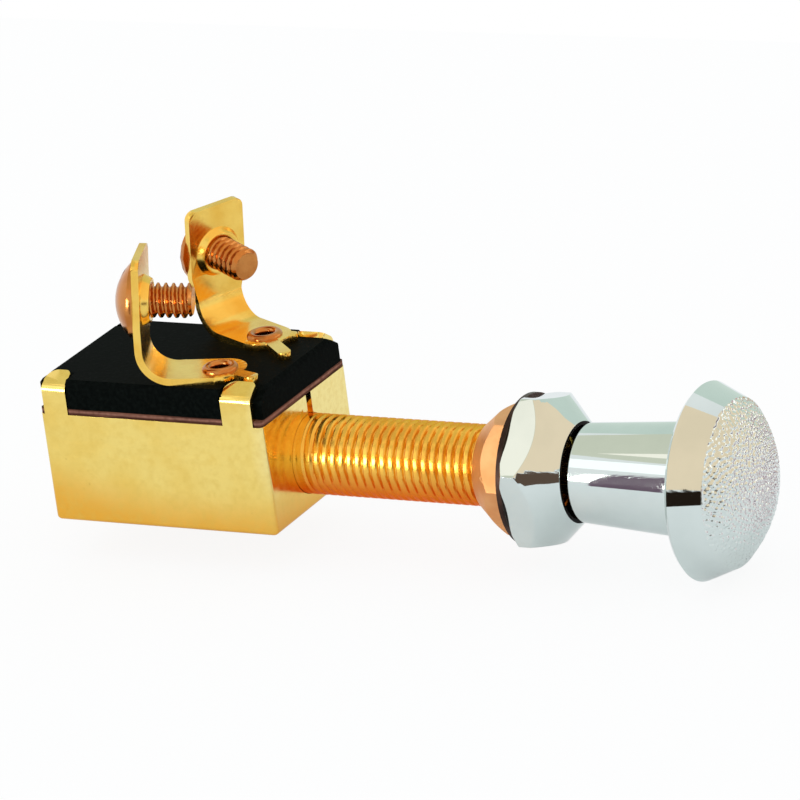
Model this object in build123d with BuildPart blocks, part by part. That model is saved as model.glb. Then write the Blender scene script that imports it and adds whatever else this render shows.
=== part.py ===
"""Push-pull panel switch with a brass case, a threaded neck and two screw terminals.

Millimetres. The neck's axis is +X, towards the knob. The terminals stand up on +Z. The origin lies on
that axis at the face nut's back, which is where the panel is clamped. The knob is pushed in (off).
"""

import os
from math import sqrt

from build123d import *

# Threaded neck and the nuts that clamp the panel
NECK_DIA = 11.11
NECK_FRONT_X = 3.6
NECK_BACK_X = -34.1
THREAD_PITCH = 1.27
THREAD_DEPTH = 0.45
THREAD_GROOVE_WIDTH = 0.95
THREAD_END_GAP = 0.6
THREAD_CLEARANCE = 0.04
NECK_END_BEVEL = 0.6
NECK_HOLE_CLEARANCE = 0.05
FLANGE_DIA = 13.6
FLANGE_THICKNESS = 0.9
FLANGE_FLAT_Z = -6.4

FACE_NUT_ACROSS_FLATS = 19.84
FACE_NUT_LENGTH = 7.1
FACE_NUT_RIDGE_LENGTH = 2.45
FACE_NUT_BEVEL_DIA = 21.2
FACE_NUT_BEVEL_DEPTH = 0.6
FACE_NUT_MOUTH_DIA = 13.7
FACE_NUT_RECESS_DIA = 12.7
FACE_NUT_RECESS_DEPTH = 3.2
FACE_NUT_TURN = -16.3

BACK_NUT_ACROSS_FLATS = 15.9
BACK_NUT_THICKNESS = 5.7
BACK_NUT_CONE_DIA = 12.2
BACK_NUT_CONE_LENGTH = 3.6

WASHER_DIA = 20.6
WASHER_THICKNESS = 0.7
WASHER_CLEARANCE = 0.15

# Case: one drawn sheet-brass box, open at the top, with four tabs folded over the board
SHEET = 0.8
CASE_LENGTH = 35.0
CASE_WIDTH = 24.3
CASE_FLOOR_Z = -7.5
CASE_RIM_Z = 8.34
CASE_CORNER_RADIUS = 0.8
CASE_FLOOR_RADIUS = 0.7
SEAM_WIDTH = 1.4
SEAM_Y = 1.1

TAB_BEND_Z = 11.55
TAB_BEND_RADIUS = 1.4
TAB_BEND_ANGLE = 57.0
TAB_REACH = 2.3
TAB_REAR_ROUND = 1.9
TAB_FRONT_ROUND = 0.8
FRONT_TAB_WIDTH = 4.7
FRONT_TAB_INSET = 1.4
REAR_TAB_WIDTH = 3.7
REAR_TAB_INSET = 0.8

# Fibre sheet and moulded terminal board that close the case
FIBRE_THICKNESS = 0.86
FIBRE_CORNER_RADIUS = 0.6
FIBRE_INSET = 0.1
BOARD_TOP_Z = 13.35
BOARD_REAR_INSET = 0.3
BOARD_FRONT_INSET = 0.15
BOARD_SIDE_INSET = 0.15
BOARD_CORNER_RADIUS = 0.9
BOARD_BEVEL_IN = 0.6
BOARD_BEVEL_DOWN = 0.5
TAB_CLEARANCE = 0.12
NOTCH_REACH = 6.0

# Screw terminals, each an angle bracket riveted to the board
TERMINAL_THICKNESS = 1.0
TERMINAL_BASE_WIDTH = 7.4
TERMINAL_BASE_LENGTH = 6.1
TERMINAL_LEG_WIDTH = 9.2
TERMINAL_LEG_LENGTH = 13.1
TERMINAL_BEND_RADIUS = 4.8
TERMINAL_BEND_LAP = 0.8
TERMINAL_CORNER_RADIUS = 1.3
TERMINAL_TAPER_LOW = 4.8
TERMINAL_TAPER_HIGH = 8.6
PRONG_WIDTH = 1.9
COLLAR_DIA = 7.2
COLLAR_TIP_DIA = 6.0
COLLAR_HEIGHT = 1.0

SCREW_DIA = 4.8
SCREW_LENGTH = 7.7
SCREW_RISE = 6.2
SCREW_CLEARANCE = 0.04
SCREW_TIP_BEVEL = 0.5
SCREW_HEAD_DIA = 10.4
SCREW_HEAD_HEIGHT = 2.9
SCREW_HEAD_EDGE = 0.7
SCREW_HEAD_SHOULDER_DIA = 6.9
SCREW_HEAD_SHOULDER_HEIGHT = 2.15
SCREW_SLOT_WIDTH = 1.3
SCREW_SLOT_DEPTH = 1.4

RIVET_BACK = 8.75
RIVET_SPACING = 12.8
RIVET_SHANK_DIA = 3.3
RIVET_CLEARANCE = 0.05
RIVET_HOLE_DIA = 2.5
RIVET_HOLE_DEPTH = 3.5
RIVET_ROLL_DIA = 5.0
RIVET_ROLL_HEIGHT = 0.6
CONTACT_HEAD_DIA = 6.2
CONTACT_HEAD_THICKNESS = 0.8
CONTACT_HEAD_CLEARANCE = 0.2

# Plunger: rod, knob and the insulating carriage with its bridging contact
TRAVEL = 9.5
ROD_DIA = 6.35
ROD_CLEARANCE = 0.08
ROD_SPIGOT_DIA = 4.8
ROD_SPIGOT_CLEARANCE = 0.05
ROD_TAIL = 2.4
ROD_END_GAP = 0.5
CLIP_GROOVE_DIA = 3.8
CLIP_THICKNESS = 0.7
CLIP_DIA = 8.6
CLIP_CLEARANCE = 0.05
STOP_GAP = 0.2

KNOB_BACK_X = 8.04
KNOB_SHANK_DIA = 13.5
KNOB_SHANK_FRONT_DIA = 15.7
KNOB_SHANK_LENGTH = 16.0
KNOB_RIM_DIA = 26.6
KNOB_RIM_X = 25.7
KNOB_RIM_EDGE = 0.5
KNOB_FACE_DIA = 22.8
KNOB_FACE_X = 29.9
KNOB_DOME_HEIGHT = 4.5
KNOB_SKIRT_BORE_DIA = 10.0
KNOB_SKIRT_DEPTH = 10.0
KNOB_THREAD_DEPTH = 9.0
KNOB_THREAD_CLEARANCE = 0.04
KNOB_SKIRT_EDGE = 0.3

CARRIAGE_CLEARANCE = 0.3
CARRIAGE_BOSS_LENGTH = 12.4
CARRIAGE_TOP_Z = 6.2
CARRIAGE_LEG_WIDTH = 4.4
CARRIAGE_EAR_LENGTH = 2.4
CARRIAGE_EAR_WIDTH = 12.0
CARRIAGE_EAR_HEIGHT = 1.6
CARRIAGE_EDGE = 0.5

CONTACT_GAP = 0.06
CONTACT_LENGTH = 17.6
CONTACT_WIDTH = 5.0
CONTACT_CORNER_RADIUS = 1.25
CONTACT_THICKNESS = 1.0
CONTACT_PAD_DIA = 3.6
CONTACT_PAD_HEIGHT = 0.3
CONTACT_SIDE_CLEARANCE = 0.12

SPRING_DIA = 5.2
SPRING_WIRE_DIA = 0.6
SPRING_TURNS = 3.5
SPRING_POCKET_DIA = 5.8
SPRING_POCKET_FLOOR_Z = 3.3

# Places that follow from the sizes above
BACK_NUT_REAR_X = -WASHER_THICKNESS - BACK_NUT_THICKNESS
CASE_REAR_X = NECK_BACK_X - CASE_LENGTH
CASE_MID_X = NECK_BACK_X - CASE_LENGTH / 2
WALL_INNER_Y = CASE_WIDTH / 2 - SHEET
FLANGE_X = NECK_BACK_X - SHEET - FLANGE_THICKNESS
FIBRE_TOP_Z = CASE_RIM_Z + FIBRE_THICKNESS
TERMINAL_TOP_Z = BOARD_TOP_Z + TERMINAL_THICKNESS
RIVET_X = NECK_BACK_X - RIVET_BACK
FRONT_TAB_X = NECK_BACK_X - FRONT_TAB_INSET - FRONT_TAB_WIDTH
REAR_TAB_X = CASE_REAR_X + REAR_TAB_INSET
CARRIAGE_FRONT_X = FLANGE_X - STOP_GAP - TRAVEL
CARRIAGE_BOSS_X = CARRIAGE_FRONT_X - CARRIAGE_BOSS_LENGTH
CARRIAGE_REAR_X = CASE_REAR_X + SHEET + CARRIAGE_CLEARANCE
CARRIAGE_FLOOR_Z = CASE_FLOOR_Z + SHEET + CARRIAGE_CLEARANCE
CARRIAGE_WIDTH = 2 * (WALL_INNER_Y - CARRIAGE_CLEARANCE)
CONTACT_X = RIVET_X - TRAVEL
CONTACT_TOP_Z = CASE_RIM_Z - CONTACT_GAP - CONTACT_PAD_HEIGHT
KNOB_SEAT_X = KNOB_BACK_X + KNOB_SKIRT_DEPTH

# Each terminal's side of the board, the headings of its base and its leg, and how far the leg leans
TERMINAL_SIDES = {"near": (-1, 13.0, 21.0, 6.0), "far": (1, -27.0, -25.0, 8.0)}
# Each terminal's prongs, by their turn from the base's heading and their reach from the rivet
TERMINAL_PRONGS = {"near": ((-30.0, 7.0),), "far": ((45.0, 4.6), (-15.5, 9.0))}
# Where each pair of tabs starts and how wide it is, and the same for the board, open to its front end
TAB_ROWS = ((FRONT_TAB_X, FRONT_TAB_WIDTH), (REAR_TAB_X, REAR_TAB_WIDTH))
BOARD_NOTCH_ROWS = ((FRONT_TAB_X, FRONT_TAB_WIDTH + FRONT_TAB_INSET), (REAR_TAB_X, REAR_TAB_WIDTH))


def tab_point(radius: float, reach: float = 0.0) -> Vector:
    """A point (Y, Z) of a tab's folded part, at a bend radius and a distance past the bend."""
    bend_centre = Vector(CASE_WIDTH / 2 - TAB_BEND_RADIUS, TAB_BEND_Z)
    return bend_centre + Vector(radius, reach).rotate(Axis.Z, TAB_BEND_ANGLE)


def folded_tab(start_x: float, width: float) -> Part:
    """A tab of the far side: up past the board's edge, then folded in over it, with a rounded end."""
    inner_radius = TAB_BEND_RADIUS - SHEET
    with BuildPart() as tab:
        with BuildSketch(Plane.YZ.offset(start_x)):
            with BuildLine():
                Polyline((WALL_INNER_Y, TAB_BEND_Z), (WALL_INNER_Y, CASE_RIM_Z),
                         (CASE_WIDTH / 2, CASE_RIM_Z), (CASE_WIDTH / 2, TAB_BEND_Z))
                RadiusArc((CASE_WIDTH / 2, TAB_BEND_Z), tab_point(TAB_BEND_RADIUS), -TAB_BEND_RADIUS)
                Polyline(tab_point(TAB_BEND_RADIUS), tab_point(TAB_BEND_RADIUS, TAB_REACH),
                         tab_point(inner_radius, TAB_REACH), tab_point(inner_radius))
                RadiusArc(tab_point(inner_radius), (WALL_INNER_Y, TAB_BEND_Z), inner_radius)
            make_face()
        extrude(amount=width)
        fold = tab_point(0, 1) - tab_point(0)
        fold_axis = Axis((0, 0, 0), (0, fold.X, fold.Y))
        for corner, corner_radius in ((0, TAB_REAR_ROUND), (-1, TAB_FRONT_ROUND)):
            end_corners = tab.faces().sort_by(fold_axis)[-1].edges().filter_by(Axis.X, reverse=True)
            fillet(end_corners.sort_by(Axis.X)[corner], corner_radius)
    return tab.part


def tab_notch(start_x: float, width: float) -> Part:
    """The room that one far tab needs in the fibre sheet and the board, with its clearance."""
    notch_radius = TAB_BEND_RADIUS - SHEET - TAB_CLEARANCE
    notch_y = WALL_INNER_Y - TAB_CLEARANCE
    with BuildPart() as notch:
        with BuildSketch(Plane.YZ.offset(start_x - TAB_CLEARANCE)):
            with BuildLine():
                RadiusArc((notch_y, TAB_BEND_Z), tab_point(notch_radius), -notch_radius)
                Polyline(tab_point(notch_radius), tab_point(notch_radius, NOTCH_REACH),
                         (CASE_WIDTH, tab_point(notch_radius, NOTCH_REACH).Y),
                         (CASE_WIDTH, CASE_RIM_Z), (notch_y, CASE_RIM_Z), (notch_y, TAB_BEND_Z))
            make_face()
        extrude(amount=width + 2 * TAB_CLEARANCE)
    return notch.part


def terminal_plane(side: str, height: float) -> Plane:
    """The level plane through a terminal's rivet, with its x along the base from leg to rivet."""
    sign, heading, _, _ = TERMINAL_SIDES[side]
    rivet = Vector(RIVET_X, sign * RIVET_SPACING / 2, height)
    return Plane(rivet, x_dir=Vector(1, 0, 0).rotate(Axis.Z, heading), z_dir=(0, 0, 1))


def leg_plane(side: str) -> Plane:
    """The upright plane down the middle of a terminal's leg, from its bend, with its x to the front."""
    _, _, heading, _ = TERMINAL_SIDES[side]
    bend = terminal_plane(side, BOARD_TOP_Z).from_local_coords((-TERMINAL_BASE_LENGTH, 0, 0))
    forward = Vector(1, 0, 0).rotate(Axis.Z, heading)
    return Plane(bend, x_dir=forward, z_dir=forward.cross(Vector(0, 0, 1)))


def leg_point(side: str, rise: float, depth: float) -> Vector:
    """A point (forward, up) of a leaning leg, up from its bend and in front of its rear face."""
    _, _, _, lean = TERMINAL_SIDES[side]
    bend_centre = Vector(0, TERMINAL_BEND_RADIUS)
    return bend_centre + Vector(depth - TERMINAL_BEND_RADIUS, rise).rotate(Axis.Z, -lean)


def screw_plane(side: str) -> Plane:
    """The plane of a terminal leg's rear face, centred on its screw and facing the knob's end."""
    middle = leg_plane(side)
    seat = middle.from_local_coords(leg_point(side, SCREW_RISE, 0))
    ahead = middle.from_local_coords(leg_point(side, SCREW_RISE, TERMINAL_THICKNESS))
    return Plane(seat, x_dir=-middle.z_dir, z_dir=ahead - seat)


# Case
with BuildPart() as case:
    with BuildSketch(Plane.XY.offset(CASE_FLOOR_Z)):
        with Locations((CASE_MID_X, 0)):
            RectangleRounded(CASE_LENGTH, CASE_WIDTH, CASE_CORNER_RADIUS)
    extrude(amount=CASE_RIM_Z - CASE_FLOOR_Z)
    fillet(case.edges().group_by(Axis.Z)[0], CASE_FLOOR_RADIUS)
    with BuildSketch(Plane.XY.offset(CASE_RIM_Z)):
        with Locations((CASE_MID_X, 0)):
            Rectangle(CASE_LENGTH - 2 * SHEET, CASE_WIDTH - 2 * SHEET)
    extrude(amount=CASE_FLOOR_Z + SHEET - CASE_RIM_Z, mode=Mode.SUBTRACT)
    for tab_x, tab_width in TAB_ROWS:
        tab = folded_tab(tab_x, tab_width)
        add([tab, tab.mirror(Plane.XZ)])
    with BuildSketch(Plane.YZ.offset(NECK_BACK_X)):
        Circle(NECK_DIA / 2 + NECK_HOLE_CLEARANCE)
        with Locations((SEAM_Y, 0)):
            Rectangle(SEAM_WIDTH, CASE_RIM_Z, align=(Align.CENTER, Align.MIN))
    extrude(amount=-SHEET, mode=Mode.SUBTRACT)

# Neck, with a flange inside the case that the floor keeps from turning, and rings at the thread's pitch
thread_mid_x = (BACK_NUT_REAR_X + NECK_BACK_X) / 2
thread_length = BACK_NUT_REAR_X - NECK_BACK_X - 2 * THREAD_END_GAP
with BuildPart() as neck:
    with BuildSketch(Plane.YZ.offset(FLANGE_X)):
        Circle(NECK_DIA / 2)
    extrude(amount=NECK_FRONT_X - FLANGE_X)
    chamfer(neck.edges().sort_by(Axis.X)[-1], NECK_END_BEVEL)
    with BuildSketch(Plane.YZ.offset(FLANGE_X)):
        Circle(FLANGE_DIA / 2)
        with Locations((0, FLANGE_FLAT_Z)):
            Rectangle(FLANGE_DIA, FLANGE_DIA, align=(Align.CENTER, Align.MIN), mode=Mode.INTERSECT)
    extrude(amount=FLANGE_THICKNESS)
    with BuildSketch(Plane.YZ.offset(FLANGE_X)):
        Circle(ROD_DIA / 2 + ROD_CLEARANCE)
    extrude(until=Until.LAST, mode=Mode.SUBTRACT)
    with BuildSketch(Plane.XY):
        with Locations((thread_mid_x, NECK_DIA / 2)):
            with GridLocations(THREAD_PITCH, 0, int(thread_length / THREAD_PITCH), 1):
                Polygon((-THREAD_GROOVE_WIDTH, THREAD_DEPTH), (THREAD_GROOVE_WIDTH, THREAD_DEPTH),
                        (0, -THREAD_DEPTH), align=None)
    revolve(axis=Axis.X, mode=Mode.SUBTRACT)

# Fibre sheet, with room for the tabs and for the rivets' contact heads
with BuildPart() as fibre_sheet:
    with BuildSketch(Plane.XY.offset(CASE_RIM_Z)):
        with Locations((CASE_MID_X, 0)):
            RectangleRounded(CASE_LENGTH - 2 * FIBRE_INSET, CASE_WIDTH - 2 * FIBRE_INSET, FIBRE_CORNER_RADIUS)
        with Locations((RIVET_X, 0)), GridLocations(0, RIVET_SPACING, 1, 2):
            Circle(CONTACT_HEAD_DIA / 2 + CONTACT_HEAD_CLEARANCE, mode=Mode.SUBTRACT)
    extrude(amount=FIBRE_THICKNESS)
    for tab_x, tab_width in TAB_ROWS:
        notch = tab_notch(tab_x, tab_width)
        add([notch, notch.mirror(Plane.XZ)], mode=Mode.SUBTRACT)

# Terminal board, bevelled round its top
with BuildPart() as terminal_board:
    with BuildSketch(Plane.XY.offset(FIBRE_TOP_Z)):
        with Locations((CASE_MID_X + (BOARD_REAR_INSET - BOARD_FRONT_INSET) / 2, 0)):
            RectangleRounded(CASE_LENGTH - BOARD_REAR_INSET - BOARD_FRONT_INSET,
                             CASE_WIDTH - 2 * BOARD_SIDE_INSET, BOARD_CORNER_RADIUS)
    extrude(amount=BOARD_TOP_Z - FIBRE_TOP_Z)
    board_top = terminal_board.faces().sort_by(Axis.Z)[-1]
    chamfer(board_top.edges(), BOARD_BEVEL_DOWN, BOARD_BEVEL_IN, reference=board_top)
    with Locations((RIVET_X, 0, BOARD_TOP_Z)), GridLocations(0, RIVET_SPACING, 1, 2):
        Hole(RIVET_SHANK_DIA / 2 + RIVET_CLEARANCE)
    for notch_x, notch_width in BOARD_NOTCH_ROWS:
        notch = tab_notch(notch_x, notch_width)
        add([notch, notch.mirror(Plane.XZ)], mode=Mode.SUBTRACT)

terminals = {}
rivets = {}
screws = {}
for side in TERMINAL_SIDES:
    base = terminal_plane(side, BOARD_TOP_Z)
    middle = leg_plane(side)
    inner_bend = TERMINAL_BEND_RADIUS - TERMINAL_THICKNESS
    bend_rear = leg_point(side, 0, 0)
    bend_front = leg_point(side, 0, TERMINAL_THICKNESS)
    leg_top_rear = leg_point(side, TERMINAL_LEG_LENGTH, 0)
    leg_top_front = leg_point(side, TERMINAL_LEG_LENGTH, TERMINAL_THICKNESS)

    # Terminal: a bent strip, wider at the screw, with a round end at the rivet and locating prongs
    with BuildPart() as terminal:
        with BuildSketch(middle):
            with BuildLine():
                Polyline((0, 0), (TERMINAL_BEND_LAP, 0), (TERMINAL_BEND_LAP, TERMINAL_THICKNESS),
                         (0, TERMINAL_THICKNESS))
                RadiusArc((0, TERMINAL_THICKNESS), bend_front, inner_bend)
                Polyline(bend_front, leg_top_front, leg_top_rear, bend_rear)
                RadiusArc(bend_rear, (0, 0), -TERMINAL_BEND_RADIUS)
            make_face()
        extrude(amount=TERMINAL_LEG_WIDTH / 2, both=True)
        leg_top = terminal.faces().sort_by(Axis.Z)[-1]
        fillet(leg_top.edges().sort_by(SortBy.LENGTH)[:2], TERMINAL_CORNER_RADIUS)
        with BuildSketch(Plane(middle.origin, x_dir=-middle.z_dir, z_dir=middle.x_dir)):
            with BuildLine():
                Polyline((TERMINAL_BASE_WIDTH / 2, 0), (TERMINAL_BASE_WIDTH / 2, TERMINAL_TAPER_LOW),
                         (TERMINAL_LEG_WIDTH / 2, TERMINAL_TAPER_HIGH),
                         (TERMINAL_LEG_WIDTH, TERMINAL_TAPER_HIGH), (TERMINAL_LEG_WIDTH, 0), close=True)
            make_face()
            mirror(about=Plane.YZ)
        extrude(amount=TERMINAL_LEG_LENGTH, both=True, mode=Mode.SUBTRACT)
        with BuildSketch(base):
            Circle(TERMINAL_BASE_WIDTH / 2)
            Rectangle(TERMINAL_BASE_LENGTH, TERMINAL_BASE_WIDTH, align=(Align.MAX, Align.CENTER))
            for turn, reach in TERMINAL_PRONGS[side]:
                with Locations(Rotation(0, 0, turn)):
                    SlotCenterPoint((reach / 2, 0), (reach - PRONG_WIDTH / 2, 0), PRONG_WIDTH)
        extrude(amount=TERMINAL_THICKNESS)
        with Locations(base.offset(TERMINAL_THICKNESS)):
            Hole(RIVET_SHANK_DIA / 2 + RIVET_CLEARANCE)
        with BuildSketch(screw_plane(side).offset(TERMINAL_THICKNESS)):
            Circle(COLLAR_DIA / 2)
        with BuildSketch(screw_plane(side).offset(TERMINAL_THICKNESS + COLLAR_HEIGHT)):
            Circle(COLLAR_TIP_DIA / 2)
        loft()
        with BuildSketch(screw_plane(side)):
            Circle(SCREW_DIA / 2 + SCREW_CLEARANCE)
        extrude(amount=TERMINAL_THICKNESS + COLLAR_HEIGHT, mode=Mode.SUBTRACT)
    terminals[side] = terminal.part

    # Rivet: contact head under the board, tubular top end rolled over the terminal
    shank_radius = RIVET_SHANK_DIA / 2
    roll_radius = RIVET_ROLL_DIA / 2
    hole_radius = RIVET_HOLE_DIA / 2
    roll_top = TERMINAL_TOP_Z + RIVET_ROLL_HEIGHT
    rivet_axis = terminal_plane(side, 0)
    with BuildPart() as rivet:
        with BuildSketch(Plane(rivet_axis.origin, x_dir=rivet_axis.x_dir, z_dir=-rivet_axis.y_dir)):
            with BuildLine():
                Polyline((0, FIBRE_TOP_Z - CONTACT_HEAD_THICKNESS),
                         (CONTACT_HEAD_DIA / 2, FIBRE_TOP_Z - CONTACT_HEAD_THICKNESS),
                         (CONTACT_HEAD_DIA / 2, FIBRE_TOP_Z), (shank_radius, FIBRE_TOP_Z),
                         (shank_radius, TERMINAL_TOP_Z), (roll_radius, TERMINAL_TOP_Z))
                ThreePointArc((roll_radius, TERMINAL_TOP_Z), ((roll_radius + hole_radius) / 2, roll_top),
                              (hole_radius, TERMINAL_TOP_Z))
                Polyline((hole_radius, TERMINAL_TOP_Z), (hole_radius, roll_top - RIVET_HOLE_DEPTH),
                         (0, roll_top - RIVET_HOLE_DEPTH), (0, FIBRE_TOP_Z - CONTACT_HEAD_THICKNESS))
            make_face()
        revolve(axis=Axis(rivet_axis.origin, (0, 0, 1)))
    rivets[side] = rivet.part

    # Terminal screw: slotted round head behind the leg, shank through its collar
    head = screw_plane(side)
    with BuildPart() as screw:
        with BuildSketch(head):
            Circle(SCREW_DIA / 2)
        extrude(amount=SCREW_LENGTH)
        chamfer(screw.edges().sort_by(Axis(head.origin, head.z_dir))[-1], SCREW_TIP_BEVEL)
        with BuildSketch(Plane(head.origin, x_dir=head.x_dir, z_dir=-head.y_dir)):
            with BuildLine():
                Polyline((0, -SCREW_HEAD_HEIGHT), (0, 0), (SCREW_HEAD_DIA / 2, 0),
                         (SCREW_HEAD_DIA / 2, -SCREW_HEAD_EDGE))
                ThreePointArc((SCREW_HEAD_DIA / 2, -SCREW_HEAD_EDGE),
                              (SCREW_HEAD_SHOULDER_DIA / 2, -SCREW_HEAD_SHOULDER_HEIGHT),
                              (0, -SCREW_HEAD_HEIGHT))
            make_face()
        revolve(axis=Axis(head.origin, head.z_dir))
        with BuildSketch(head.offset(-SCREW_HEAD_HEIGHT)):
            Rectangle(SCREW_SLOT_WIDTH, SCREW_HEAD_DIA)
        extrude(amount=SCREW_SLOT_DEPTH, mode=Mode.SUBTRACT)
    screws[side] = screw.part

# Lock washer, between the panel and the back nut
with BuildPart() as lock_washer:
    with BuildSketch(Plane.YZ):
        Circle(WASHER_DIA / 2)
        Circle(NECK_DIA / 2 + WASHER_CLEARANCE, mode=Mode.SUBTRACT)
    extrude(amount=-WASHER_THICKNESS)

# Back nut, a hexagon with a conical back, behind the washer
back_nut_corner = BACK_NUT_ACROSS_FLATS / sqrt(3)
with BuildPart() as back_nut:
    with BuildSketch(Plane.YZ.offset(-WASHER_THICKNESS)):
        RegularPolygon(back_nut_corner, 6)
    extrude(amount=-BACK_NUT_THICKNESS)
    with BuildSketch(Plane.XY):
        with BuildLine():
            Polyline((-WASHER_THICKNESS, 0), (-WASHER_THICKNESS, back_nut_corner),
                     (BACK_NUT_REAR_X + BACK_NUT_CONE_LENGTH, back_nut_corner),
                     (BACK_NUT_REAR_X, BACK_NUT_CONE_DIA / 2), (BACK_NUT_REAR_X, 0), close=True)
        make_face()
    revolve(axis=Axis.X, mode=Mode.INTERSECT)
    with BuildSketch(Plane.YZ.offset(-WASHER_THICKNESS)):
        Circle(NECK_DIA / 2 + THREAD_CLEARANCE)
    extrude(amount=-BACK_NUT_THICKNESS, mode=Mode.SUBTRACT)

# Face nut, a hexagon bevelled at its back, with a conical nose and a recess at its mouth
face_nut_corner = FACE_NUT_ACROSS_FLATS / sqrt(3)
with BuildPart() as face_nut:
    with BuildSketch(Plane.YZ):
        RegularPolygon(face_nut_corner, 6, rotation=FACE_NUT_TURN)
    extrude(amount=FACE_NUT_LENGTH)
    with BuildSketch(Plane.XY):
        with BuildLine():
            Polyline((0, 0), (0, FACE_NUT_BEVEL_DIA / 2), (FACE_NUT_BEVEL_DEPTH, face_nut_corner),
                     (FACE_NUT_RIDGE_LENGTH, face_nut_corner),
                     (FACE_NUT_LENGTH, FACE_NUT_MOUTH_DIA / 2), (FACE_NUT_LENGTH, 0), close=True)
        make_face()
    revolve(axis=Axis.X, mode=Mode.INTERSECT)
    with BuildSketch(Plane.YZ):
        Circle(NECK_DIA / 2 + THREAD_CLEARANCE)
    extrude(amount=FACE_NUT_LENGTH, mode=Mode.SUBTRACT)
    with BuildSketch(Plane.YZ.offset(FACE_NUT_LENGTH)):
        Circle(FACE_NUT_RECESS_DIA / 2)
    extrude(amount=-FACE_NUT_RECESS_DEPTH, mode=Mode.SUBTRACT)

# Knob, with a hollow skirt and a threaded socket for the rod
knob_thread_radius = ROD_SPIGOT_DIA / 2 + KNOB_THREAD_CLEARANCE
knob_shank_front_x = KNOB_BACK_X + KNOB_SHANK_LENGTH
with BuildPart() as knob:
    with BuildSketch(Plane.XY):
        with BuildLine():
            Polyline((KNOB_FACE_X + KNOB_DOME_HEIGHT, 0), (KNOB_SEAT_X + KNOB_THREAD_DEPTH, 0),
                     (KNOB_SEAT_X + KNOB_THREAD_DEPTH, knob_thread_radius), (KNOB_SEAT_X, knob_thread_radius),
                     (KNOB_SEAT_X, KNOB_SKIRT_BORE_DIA / 2), (KNOB_BACK_X, KNOB_SKIRT_BORE_DIA / 2),
                     (KNOB_BACK_X, KNOB_SHANK_DIA / 2), (knob_shank_front_x, KNOB_SHANK_FRONT_DIA / 2),
                     (KNOB_RIM_X - KNOB_RIM_EDGE, KNOB_RIM_DIA / 2 - KNOB_RIM_EDGE),
                     (KNOB_RIM_X, KNOB_RIM_DIA / 2), (KNOB_FACE_X, KNOB_FACE_DIA / 2))
            TangentArc((KNOB_FACE_X + KNOB_DOME_HEIGHT, 0), (KNOB_FACE_X, KNOB_FACE_DIA / 2), tangent=(0, 1))
        make_face()
    revolve(axis=Axis.X)
    fillet(knob.edges().filter_by(GeomType.CIRCLE).group_by(Axis.X)[0].sort_by(SortBy.RADIUS)[-1],
           KNOB_SKIRT_EDGE)

# Plunger rod, shouldered at both ends, with a groove for its clip
rod_tail_x = CARRIAGE_BOSS_X - CLIP_CLEARANCE - CLIP_THICKNESS - ROD_TAIL
clip_front_x = CARRIAGE_BOSS_X - CLIP_CLEARANCE
with BuildPart() as plunger_rod:
    with BuildSketch(Plane.YZ.offset(CARRIAGE_FRONT_X)):
        Circle(ROD_DIA / 2)
    extrude(amount=KNOB_SEAT_X - CARRIAGE_FRONT_X)
    with BuildSketch(Plane.YZ.offset(rod_tail_x)):
        Circle(ROD_SPIGOT_DIA / 2)
    extrude(amount=KNOB_SEAT_X + KNOB_THREAD_DEPTH - ROD_END_GAP - rod_tail_x)
    with BuildSketch(Plane.YZ.offset(clip_front_x)):
        Circle(ROD_SPIGOT_DIA / 2)
        Circle(CLIP_GROOVE_DIA / 2, mode=Mode.SUBTRACT)
    extrude(amount=-CLIP_THICKNESS, mode=Mode.SUBTRACT)

# Clip that holds the carriage on the rod
with BuildPart() as rod_clip:
    with BuildSketch(Plane.YZ.offset(clip_front_x)):
        Circle(CLIP_DIA / 2)
        Circle(CLIP_GROOVE_DIA / 2 + CLIP_CLEARANCE, mode=Mode.SUBTRACT)
        Rectangle(CLIP_GROOVE_DIA, CLIP_DIA, align=(Align.CENTER, Align.MAX), mode=Mode.SUBTRACT)
    extrude(amount=-CLIP_THICKNESS)

# Carriage: a moulded block with two rear legs and a guide for the bridging contact
contact_floor_z = CONTACT_TOP_Z - CONTACT_THICKNESS
with BuildPart() as carriage:
    with BuildSketch(Plane.XY.offset(CARRIAGE_FLOOR_Z)):
        with Locations((CARRIAGE_REAR_X, 0)):
            Rectangle(CARRIAGE_FRONT_X - CARRIAGE_REAR_X, CARRIAGE_WIDTH, align=(Align.MIN, Align.CENTER))
            Rectangle(CARRIAGE_BOSS_X - CARRIAGE_REAR_X, CARRIAGE_WIDTH - 2 * CARRIAGE_LEG_WIDTH,
                      align=(Align.MIN, Align.CENTER), mode=Mode.SUBTRACT)
    extrude(amount=CARRIAGE_TOP_Z - CARRIAGE_FLOOR_Z)
    fillet(carriage.edges().filter_by(Axis.Z), CARRIAGE_EDGE)
    with BuildSketch(Plane.XY.offset(CARRIAGE_TOP_Z)):
        with Locations((CONTACT_X, 0)):
            with GridLocations(CONTACT_WIDTH + 2 * CONTACT_SIDE_CLEARANCE + CARRIAGE_EAR_LENGTH, 0, 2, 1):
                Rectangle(CARRIAGE_EAR_LENGTH, CARRIAGE_EAR_WIDTH)
    extrude(amount=CARRIAGE_EAR_HEIGHT)
    with BuildSketch(Plane.XY.offset(CARRIAGE_TOP_Z)):
        with Locations((CONTACT_X, 0)):
            Circle(SPRING_POCKET_DIA / 2)
    extrude(amount=SPRING_POCKET_FLOOR_Z - CARRIAGE_TOP_Z, mode=Mode.SUBTRACT)
    with BuildSketch(Plane.YZ.offset(CARRIAGE_FRONT_X)):
        Circle(ROD_SPIGOT_DIA / 2 + ROD_SPIGOT_CLEARANCE)
    extrude(amount=-CARRIAGE_BOSS_LENGTH, mode=Mode.SUBTRACT)

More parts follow.
